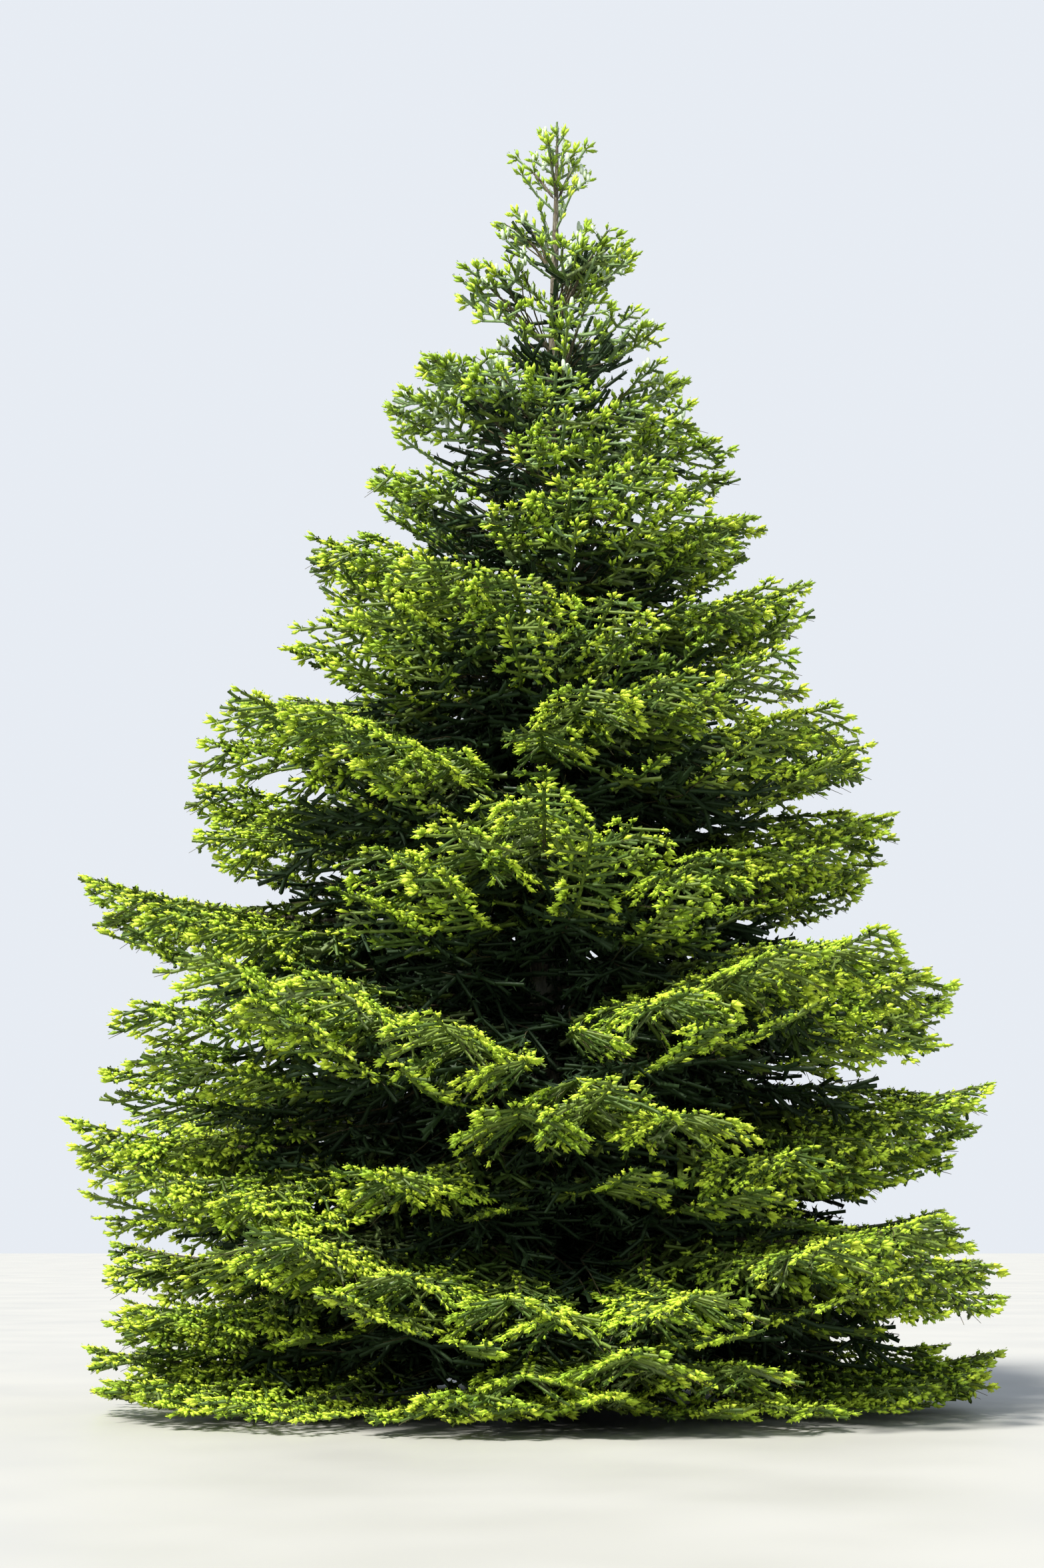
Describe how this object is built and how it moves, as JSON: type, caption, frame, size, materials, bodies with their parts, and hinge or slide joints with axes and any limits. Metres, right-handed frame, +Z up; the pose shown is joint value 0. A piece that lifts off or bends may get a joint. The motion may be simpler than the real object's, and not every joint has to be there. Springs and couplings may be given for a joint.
{
  "type": "moroccan fir",
  "caption": "Open-grown conical fir tree, rooted in the ground: straight tapering trunk, boughs spiralling down to the grass and dense masses of drooping needle sprays.",
  "frame": {"origin": "centre of the flat cut under the trunk, at ground level", "axes": "+Z up along the trunk, -Y towards the viewer of the picture, +X to the viewer's right"},
  "size_m": [8.977, 8.9076, 13],
  "materials": {
    "bark": "rough",
    "limb_bark": "rough",
    "needles": "matt"
  },
  "bodies": {
    "root": {"bough_1_1": "limb_bark", "bough_1_2": "limb_bark", "bough_1_3": "limb_bark", "bough_1_4": "limb_bark", "bough_1_5": "limb_bark", "bough_2_1": "limb_bark", "bough_2_2": "limb_bark", "bough_2_3": "limb_bark", "bough_2_4": "limb_bark", "bough_2_5": "limb_bark", "foliage_10_1": "needles", "foliage_10_2": "needles", "foliage_10_3": "needles", "foliage_11_1": "needles", "foliage_11_2": "needles", "foliage_11_3": "needles", "foliage_11_4": "needles", "foliage_12_1": "needles", "foliage_12_2": "needles", "foliage_12_3": "needles", "foliage_1_1": "needles", "foliage_1_2": "needles", "foliage_1_3": "needles", "foliage_1_4": "needles", "foliage_1_5": "needles", "foliage_2_1": "needles", "foliage_2_2": "needles", "foliage_2_3": "needles", "foliage_2_4": "needles", "foliage_2_5": "needles", "foliage_3_1": "needles", "foliage_3_2": "needles", "foliage_3_3": "needles", "foliage_3_4": "needles", "foliage_3_5": "needles", "foliage_4_1": "needles", "foliage_4_2": "needles", "foliage_4_3": "needles", "foliage_4_4": "needles", "foliage_4_5": "needles", "foliage_5_1": "needles", "foliage_5_2": "needles", "foliage_5_3": "needles", "foliage_5_4": "needles", "foliage_5_5": "needles", "foliage_6_1": "needles", "foliage_6_2": "needles", "foliage_6_3": "needles", "foliage_6_4": "needles", "foliage_7_1": "needles", "foliage_7_2": "needles", "foliage_7_3": "needles", "foliage_7_4": "needles", "foliage_8_1": "needles", "foliage_8_2": "needles", "foliage_8_3": "needles", "foliage_9_1": "needles", "foliage_9_2": "needles", "foliage_9_3": "needles", "trunk": "bark"}
  },
  "joints": []
}
